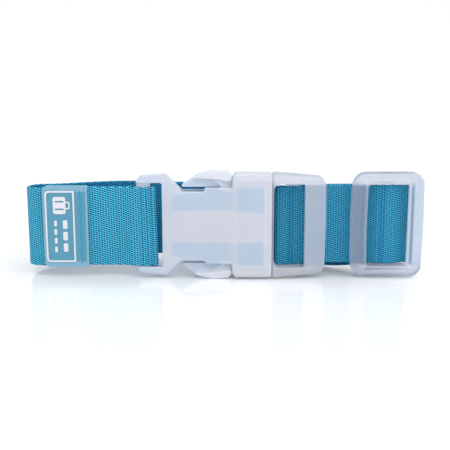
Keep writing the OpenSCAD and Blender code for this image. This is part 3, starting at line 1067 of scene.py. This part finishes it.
# %% Hem, flap and print
hem = moulded("label_hem", "label_seam_rim", 0.24, 2, vinyl)
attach(hem, "socket_half")
flap = moulded("label_flap", "label_page", 0.24, 2, vinyl)
flap_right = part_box("label_flap")[1].x
PAGE_EDGE, PAGE_REACH = 1.0 * MM, 0.45 * MM
for vert in flap.data.vertices:
    if vert.co.x > flap_right - PAGE_EDGE:
        vert.co.x += PAGE_REACH
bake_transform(flap)
border_low, border_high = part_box("label_border")
hem_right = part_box("label_hem")[1].x
LINE = 0.8 * MM
RIM = 1.7 * MM
FADE = 0.6 * MM


def store_label_zones(obj):
    """1 where the vinyl is thick and milky, 0 in the thin panel and along the seam."""
    zones, places = [], []
    middle = (front_low.z + front_high.z) / 2
    for vert in obj.data.vertices:
        x, z = vert.co.x, vert.co.z
        out = max(border_low.x + LINE - x, border_low.z + LINE - z, z - border_high.z + LINE)
        rim = x - (hem_right - RIM)
        zones.append(min(1.0, max(0.0, max(out, rim) / FADE)))
        places.append((x / MM - run_start - length_fold, (middle - z) / MM, 0.5))
    store_numbers(obj.data, "milky_zone", zones)
    store_places(obj.data, "strip_place", places)


store_label_zones(hem)
store_label_zones(flap)
for node in ("label_border", "label_emblem", "label_bars"):
    printed = moulded(node, node + "_print", 0.16, 2, print_white)
    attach(printed, "label_flap_body")

# %% [markdown]
# ## Stitches
# A lockstitch shows as a row of short bars of twisted thread. Each bar starts and ends in the
# cloth, so it is made as a small tube that bows out, with a three-strand twist on its surface.


# %% Twisted thread
STEPS, SIDES = 16, 12
STRANDS, STRAND_DEEP, TWIST = 3, 0.13, 9
THIN_END = 0.55
BOW_OUT, SINK = 1.1, 0.9


def thread_bar(verts, faces, centre, half_length, radius, outward):
    """One stitch, upright, bowed towards outward (+1 or -1 in depth)."""
    base = len(verts)
    for i in range(STEPS + 1):
        t = i / STEPS * 2 - 1
        bow = math.sqrt(max(0.0, 1 - t**4))
        for k in range(SIDES):
            angle = 2 * math.pi * k / SIDES
            strand = 1 + STRAND_DEEP * math.cos(STRANDS * angle - TWIST * t)
            r = radius * strand * (THIN_END + (1 - THIN_END) * bow)
            x = centre[0] + r * math.cos(angle)
            y = centre[1] + outward * radius * (BOW_OUT * bow - SINK) + r * math.sin(angle)
            verts.append((x, y, centre[2] + t * half_length))
    for i in range(STEPS):
        for k in range(SIDES):
            a, b = base + i * SIDES + k, base + i * SIDES + (k + 1) % SIDES
            faces.append((a, b, b + SIDES, a + SIDES))
    faces.append(tuple(base + k for k in reversed(range(SIDES))))
    faces.append(tuple(base + STEPS * SIDES + k for k in range(SIDES)))


THREAD = 0.42 * MM
PITCH = 3.6 * MM
STRAY, STRAY_STEP = 0.22 * MM, 2.4
ROUNDING = 0.001


def stitch_rows(name, rows, low, high, length):
    """Rows (x, y, outward) of stitches of the given length, each set a little askew."""
    verts, faces = [], []
    count = int((high - low - length) / PITCH + ROUNDING) + 1
    spare = (high - low - length - PITCH * (count - 1)) / 2
    for x, y, outward in rows:
        for i in range(count):
            z = low + spare + length / 2 + i * PITCH
            stray = STRAY * math.sin(STRAY_STEP * i + 1)
            thread_bar(verts, faces, (x + stray, y, z), length / 2, THREAD, outward)
    mesh = bpy.data.meshes.new(name)
    mesh.from_pydata(verts, [], faces)
    mesh.shade_smooth()
    obj = put_in_scene(name, mesh)
    mesh.materials.append(thread_blue)
    print(name, count * len(rows), "stitches")
    return obj


# %% Label seam and end seam
seam_low, seam_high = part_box("label_stitches")
seam_x = (seam_low.x + seam_high.x) / 2
label_seam = stitch_rows(
    "label_seam_thread",
    [(seam_x, seam_low.y + THREAD, -1), (seam_x, seam_high.y - THREAD, 1)],
    seam_low.z,
    seam_high.z,
    3.35 * MM,
)
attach(label_seam, "socket_half")
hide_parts("label_stitches")
end_low, end_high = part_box("end_stitches")
end_seam = stitch_rows(
    "end_seam_thread",
    [(x, end_high.y - THREAD, 1) for x in (end_low.x + THREAD, end_high.x - THREAD)],
    end_low.z,
    end_high.z,
    2.7 * MM,
)
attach(end_seam, "adjuster_slide_body")
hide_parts("end_stitches")

# %% [markdown]
# ## Floor and light
# The strap stands on a pale glossy sheet in a white room. The floor gives a soft shadow and a
# faint mirror image near the strap's lower edge, and it glows a little more further off, so
# that it runs into the white room without a line. A wide, even light from above and a weaker
# lamp on each side give the plastic its bright upper edges.


# %% Floor
FLOOR_REACH = 40.0
GLOW_NEAR, GLOW_FAR = 0.11, 0.4
GLOW_STARTS, GLOW_ENDS = 0.3, 3.0


def make_floor():
    signs = [(-1, -1), (1, -1), (1, 1), (-1, 1)]
    corners = [(x * FLOOR_REACH, y * FLOOR_REACH, cad_box[0].z) for x, y in signs]
    mesh = bpy.data.meshes.new("studio_floor")
    mesh.from_pydata(corners, [], [(0, 1, 2, 3)])
    floor = put_in_scene("studio_floor", mesh)
    mat, tree, shader = new_material("Studio_White")
    shader.inputs["Base Color"].default_value = (0.8, 0.81, 0.82, 1)
    shader.inputs["Roughness"].default_value = 0.1
    shader.inputs["IOR"].default_value = 1.7
    shader.inputs["Emission Color"].default_value = (1, 1, 1, 1)
    seen = add_node(tree, "ShaderNodeLightPath").outputs["Is Camera Ray"]
    place = add_node(tree, "ShaderNodeTexCoord").outputs["Object"]
    away = add_node(tree, "ShaderNodeVectorMath", {0: place}, operation="LENGTH")
    glow = add_node(
        tree,
        "ShaderNodeMapRange",
        {
            "Value": away.outputs["Value"],
            "From Min": GLOW_STARTS,
            "From Max": GLOW_ENDS,
            "To Min": GLOW_NEAR,
            "To Max": GLOW_FAR,
        },
    )
    tree.links.new(
        math_node(tree, "MULTIPLY", seen, glow.outputs[0]), shader.inputs["Emission Strength"]
    )
    mesh.materials.append(mat)


make_floor()
print("floor at", round(cad_box[0].z / MM, 3), "mm")


# %% Lamps and room
LAMP_AIM = Vector((0, 0, 0.03))
LAMP_SIZE = 0.6
SKY_TILT_RIGHT, SKY_TILT_FRONT, SKY_WIDTH = 20, 15, 80


def add_lamp(name, place, power):
    data = bpy.data.lights.new(name, "AREA")
    data.shape = "RECTANGLE"
    data.size = LAMP_SIZE
    data.size_y = LAMP_SIZE
    data.energy = power
    lamp = put_in_scene(name, data)
    lamp.location = place
    lamp.rotation_mode = "QUATERNION"
    lamp.rotation_quaternion = (LAMP_AIM - Vector(place)).to_track_quat("-Z", "Y")


def add_skylight(strength):
    """An even light from a wide patch of sky, so that the floor is as bright far off as near."""
    data = bpy.data.lights.new("skylight", "SUN")
    data.energy = strength
    data.angle = math.radians(SKY_WIDTH)
    lamp = put_in_scene("skylight", data)
    lamp.rotation_euler = (math.radians(SKY_TILT_FRONT), math.radians(SKY_TILT_RIGHT), 0)


def white_room(strength):
    world = bpy.data.worlds.new("white_room")
    bpy.context.scene.world = world
    world.use_nodes = True
    tree = world.node_tree
    tree.nodes.clear()
    out = tree.nodes.new("ShaderNodeOutputWorld")
    room = add_node(
        tree, "ShaderNodeBackground", {"Color": (0.97, 0.975, 1, 1), "Strength": strength}
    )
    seen = add_node(tree, "ShaderNodeBackground", {"Color": (1, 1, 1, 1), "Strength": 1.0})
    path = tree.nodes.new("ShaderNodeLightPath")
    mix = tree.nodes.new("ShaderNodeMixShader")
    tree.links.new(path.outputs["Is Camera Ray"], mix.inputs[0])
    tree.links.new(room.outputs[0], mix.inputs[1])
    tree.links.new(seen.outputs[0], mix.inputs[2])
    tree.links.new(mix.outputs[0], out.inputs["Surface"])


add_skylight(1.38)
add_lamp("from_right", (0.8, -0.6, 0.45), 2.5)
add_lamp("from_left", (-0.9, -0.5, 0.35), 2.4)
white_room(0.83)
print(len(bpy.data.lights), "lamps in a white room")
